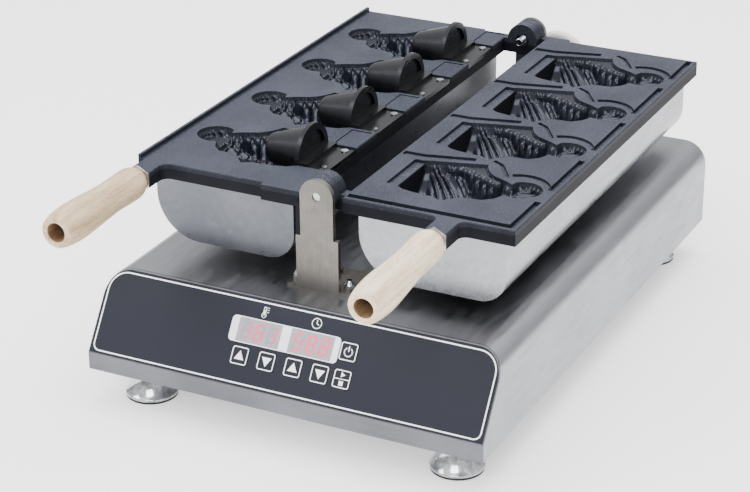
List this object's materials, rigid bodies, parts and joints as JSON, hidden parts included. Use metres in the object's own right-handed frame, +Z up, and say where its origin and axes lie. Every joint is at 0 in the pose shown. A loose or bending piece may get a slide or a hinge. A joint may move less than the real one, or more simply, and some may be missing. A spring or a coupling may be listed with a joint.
{
  "type": "taiyaki maker",
  "caption": "Countertop fish-cake maker: two hinged cast mould halves over heater boxes, on a steel base with a sloped control panel and flared feet.",
  "frame": {"origin": "middle of the whole object in plan, on the surface that the feet stand on", "axes": "+X to the right seen from the control panel, +Y to the back, +Z up; both halves lie open"},
  "size_m": [0.4, 0.679, 0.2442],
  "materials": {
    "stainless_sheet": "satin",
    "heater_box_steel": "satin",
    "post_steel": "satin",
    "bright_steel": "polished",
    "coated_casting": "dark non-stick coating",
    "coated_core": "dark non-stick coating",
    "overlay_film": "printed film",
    "bezel_plastic": "silver",
    "display_window": "smoked window",
    "key_plastic": "satin",
    "circuit_board": "matte",
    "black_plastic": "matte",
    "black_rubber": "matte",
    "glass_sleeve": "braided",
    "beech": "waxed",
    "ceramic_wool": "matte",
    "element_sheath": "dull"
  },
  "bodies": {
    "base": {"base_housing": "stainless_sheet", "front_panel": "stainless_sheet", "control_overlay": "overlay_film", "display_bezel": "bezel_plastic", "temperature_display": "display_window", "timer_display": "display_window", "control_board": "circuit_board", "key_switches": "black_plastic", "bottom_pan": "stainless_sheet", "rear_panel": "stainless_sheet", "feet": "bright_steel", "foot_pads": "black_rubber", "foot_bolts": "bright_steel", "post_bolts": "bright_steel", "front_post": "post_steel", "rear_post": "post_steel", "front_hinge_pin": "bright_steel", "rear_hinge_pin": "bright_steel", "cord_inlet": "black_plastic", "terminal_block": "black_plastic", "power_relays": "black_plastic", "base_conduit_glands": "black_plastic", "left_conduit": "glass_sleeve", "right_conduit": "glass_sleeve"},
    "left_half": {"left_mould_plate": "coated_casting", "core_1": "coated_core", "core_2": "coated_core", "core_3": "coated_core", "core_4": "coated_core", "core_screws": "bright_steel", "left_heater_box": "heater_box_steel", "left_heating_element": "element_sheath", "left_insulation_pad": "ceramic_wool", "left_temperature_probe": "bright_steel", "left_box_screws": "bright_steel", "left_conduit_gland": "black_plastic", "left_handle_stud": "bright_steel", "left_handle_ferrule": "bright_steel", "left_wooden_handle": "beech", "left_handle_nut": "bright_steel"},
    "right_half": {"right_mould_plate": "coated_casting", "right_heater_box": "heater_box_steel", "right_heating_element": "element_sheath", "right_insulation_pad": "ceramic_wool", "right_temperature_probe": "bright_steel", "right_box_screws": "bright_steel", "right_conduit_gland": "black_plastic", "right_handle_stud": "bright_steel", "right_handle_ferrule": "bright_steel", "right_wooden_handle": "beech", "right_handle_nut": "bright_steel"},
    "temperature_up_key": {"temperature_up_key": "key_plastic"},
    "temperature_down_key": {"temperature_down_key": "key_plastic"},
    "timer_up_key": {"timer_up_key": "key_plastic"},
    "timer_down_key": {"timer_down_key": "key_plastic"},
    "start_stop_key": {"start_stop_key": "key_plastic"},
    "power_key": {"power_key": "key_plastic"}
  },
  "joints": [
    {"name": "left_half_hinge", "type": "hinge", "parent": "base", "child": "left_half", "pos_m": [0, -0.16146, 0.2146], "axis": [0, 1, 0], "range_deg": [0, 180], "deforming": ["left_conduit"]},
    {"name": "right_half_hinge", "type": "hinge", "parent": "base", "child": "right_half", "pos_m": [0, -0.16146, 0.2146], "axis": [0, -1, 0], "range_deg": [0, 180], "deforming": ["right_conduit"]},
    {"name": "temperature_up_key_press", "type": "slide", "parent": "base", "child": "temperature_up_key", "axis": [0, 0.8302, -0.5574], "range_m": [0, 0.0005], "stiffness_N_per_m": 600},
    {"name": "temperature_down_key_press", "type": "slide", "parent": "base", "child": "temperature_down_key", "axis": [0, 0.8302, -0.5574], "range_m": [0, 0.0005], "stiffness_N_per_m": 600},
    {"name": "timer_up_key_press", "type": "slide", "parent": "base", "child": "timer_up_key", "axis": [0, 0.8302, -0.5574], "range_m": [0, 0.0005], "stiffness_N_per_m": 600},
    {"name": "timer_down_key_press", "type": "slide", "parent": "base", "child": "timer_down_key", "axis": [0, 0.8302, -0.5574], "range_m": [0, 0.0005], "stiffness_N_per_m": 600},
    {"name": "start_stop_key_press", "type": "slide", "parent": "base", "child": "start_stop_key", "axis": [0, 0.8302, -0.5574], "range_m": [0, 0.0005], "stiffness_N_per_m": 600},
    {"name": "power_key_press", "type": "slide", "parent": "base", "child": "power_key", "axis": [0, 0.8302, -0.5574], "range_m": [0, 0.0005], "stiffness_N_per_m": 600}
  ]
}
